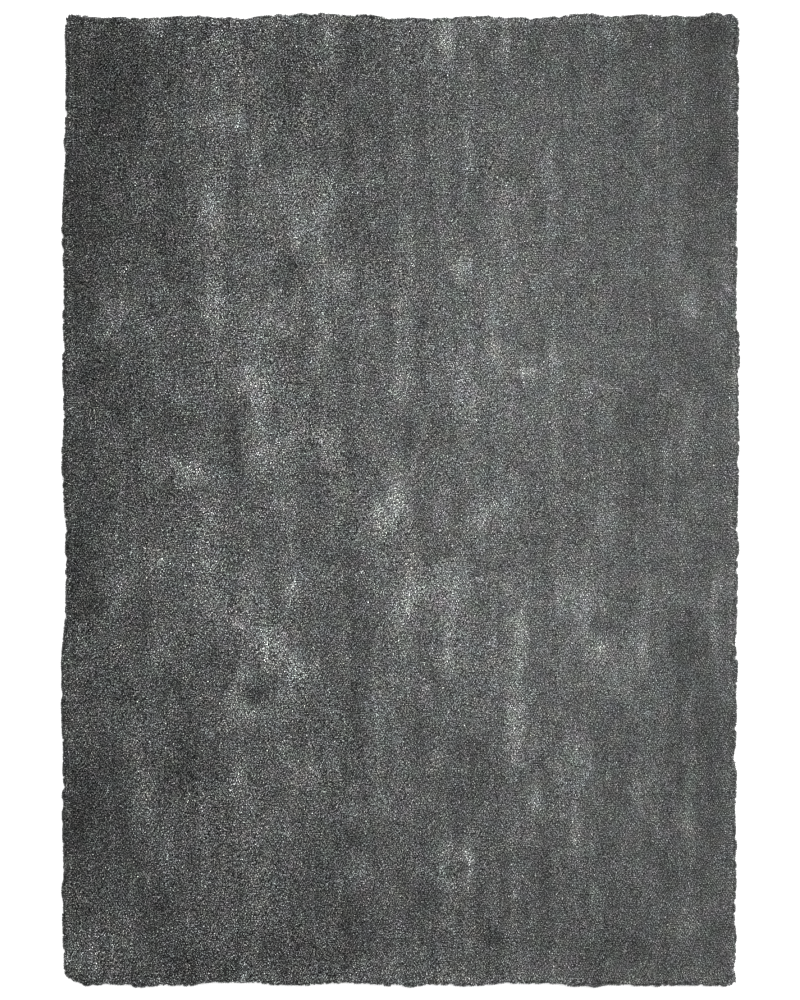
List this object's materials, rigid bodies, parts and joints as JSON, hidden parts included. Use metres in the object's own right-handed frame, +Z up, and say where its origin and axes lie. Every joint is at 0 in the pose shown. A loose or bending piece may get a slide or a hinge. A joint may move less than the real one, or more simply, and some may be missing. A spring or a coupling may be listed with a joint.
{
  "type": "shag rug",
  "caption": "Rectangular shag rug lying flat, with deep cut pile, a soft rounded rim and slightly wavy edges. It covers and cushions a floor.",
  "frame": {"origin": "on the floor, under the middle of the rug's extents", "axes": "+Y runs along the rug's length to the end that is at the top of the picture, +X across its width to the picture's right, +Z up out of the pile"},
  "size_m": [1.6124, 2.314, 0.0349],
  "materials": {
    "pile_yarn": "deep cut pile of soft charcoal yarn with light, slightly shiny tips",
    "ground_cloth": "plain woven ground cloth, dull, seen only from underneath"
  },
  "bodies": {
    "root": {"rug": "pile_yarn"}
  },
  "joints": []
}
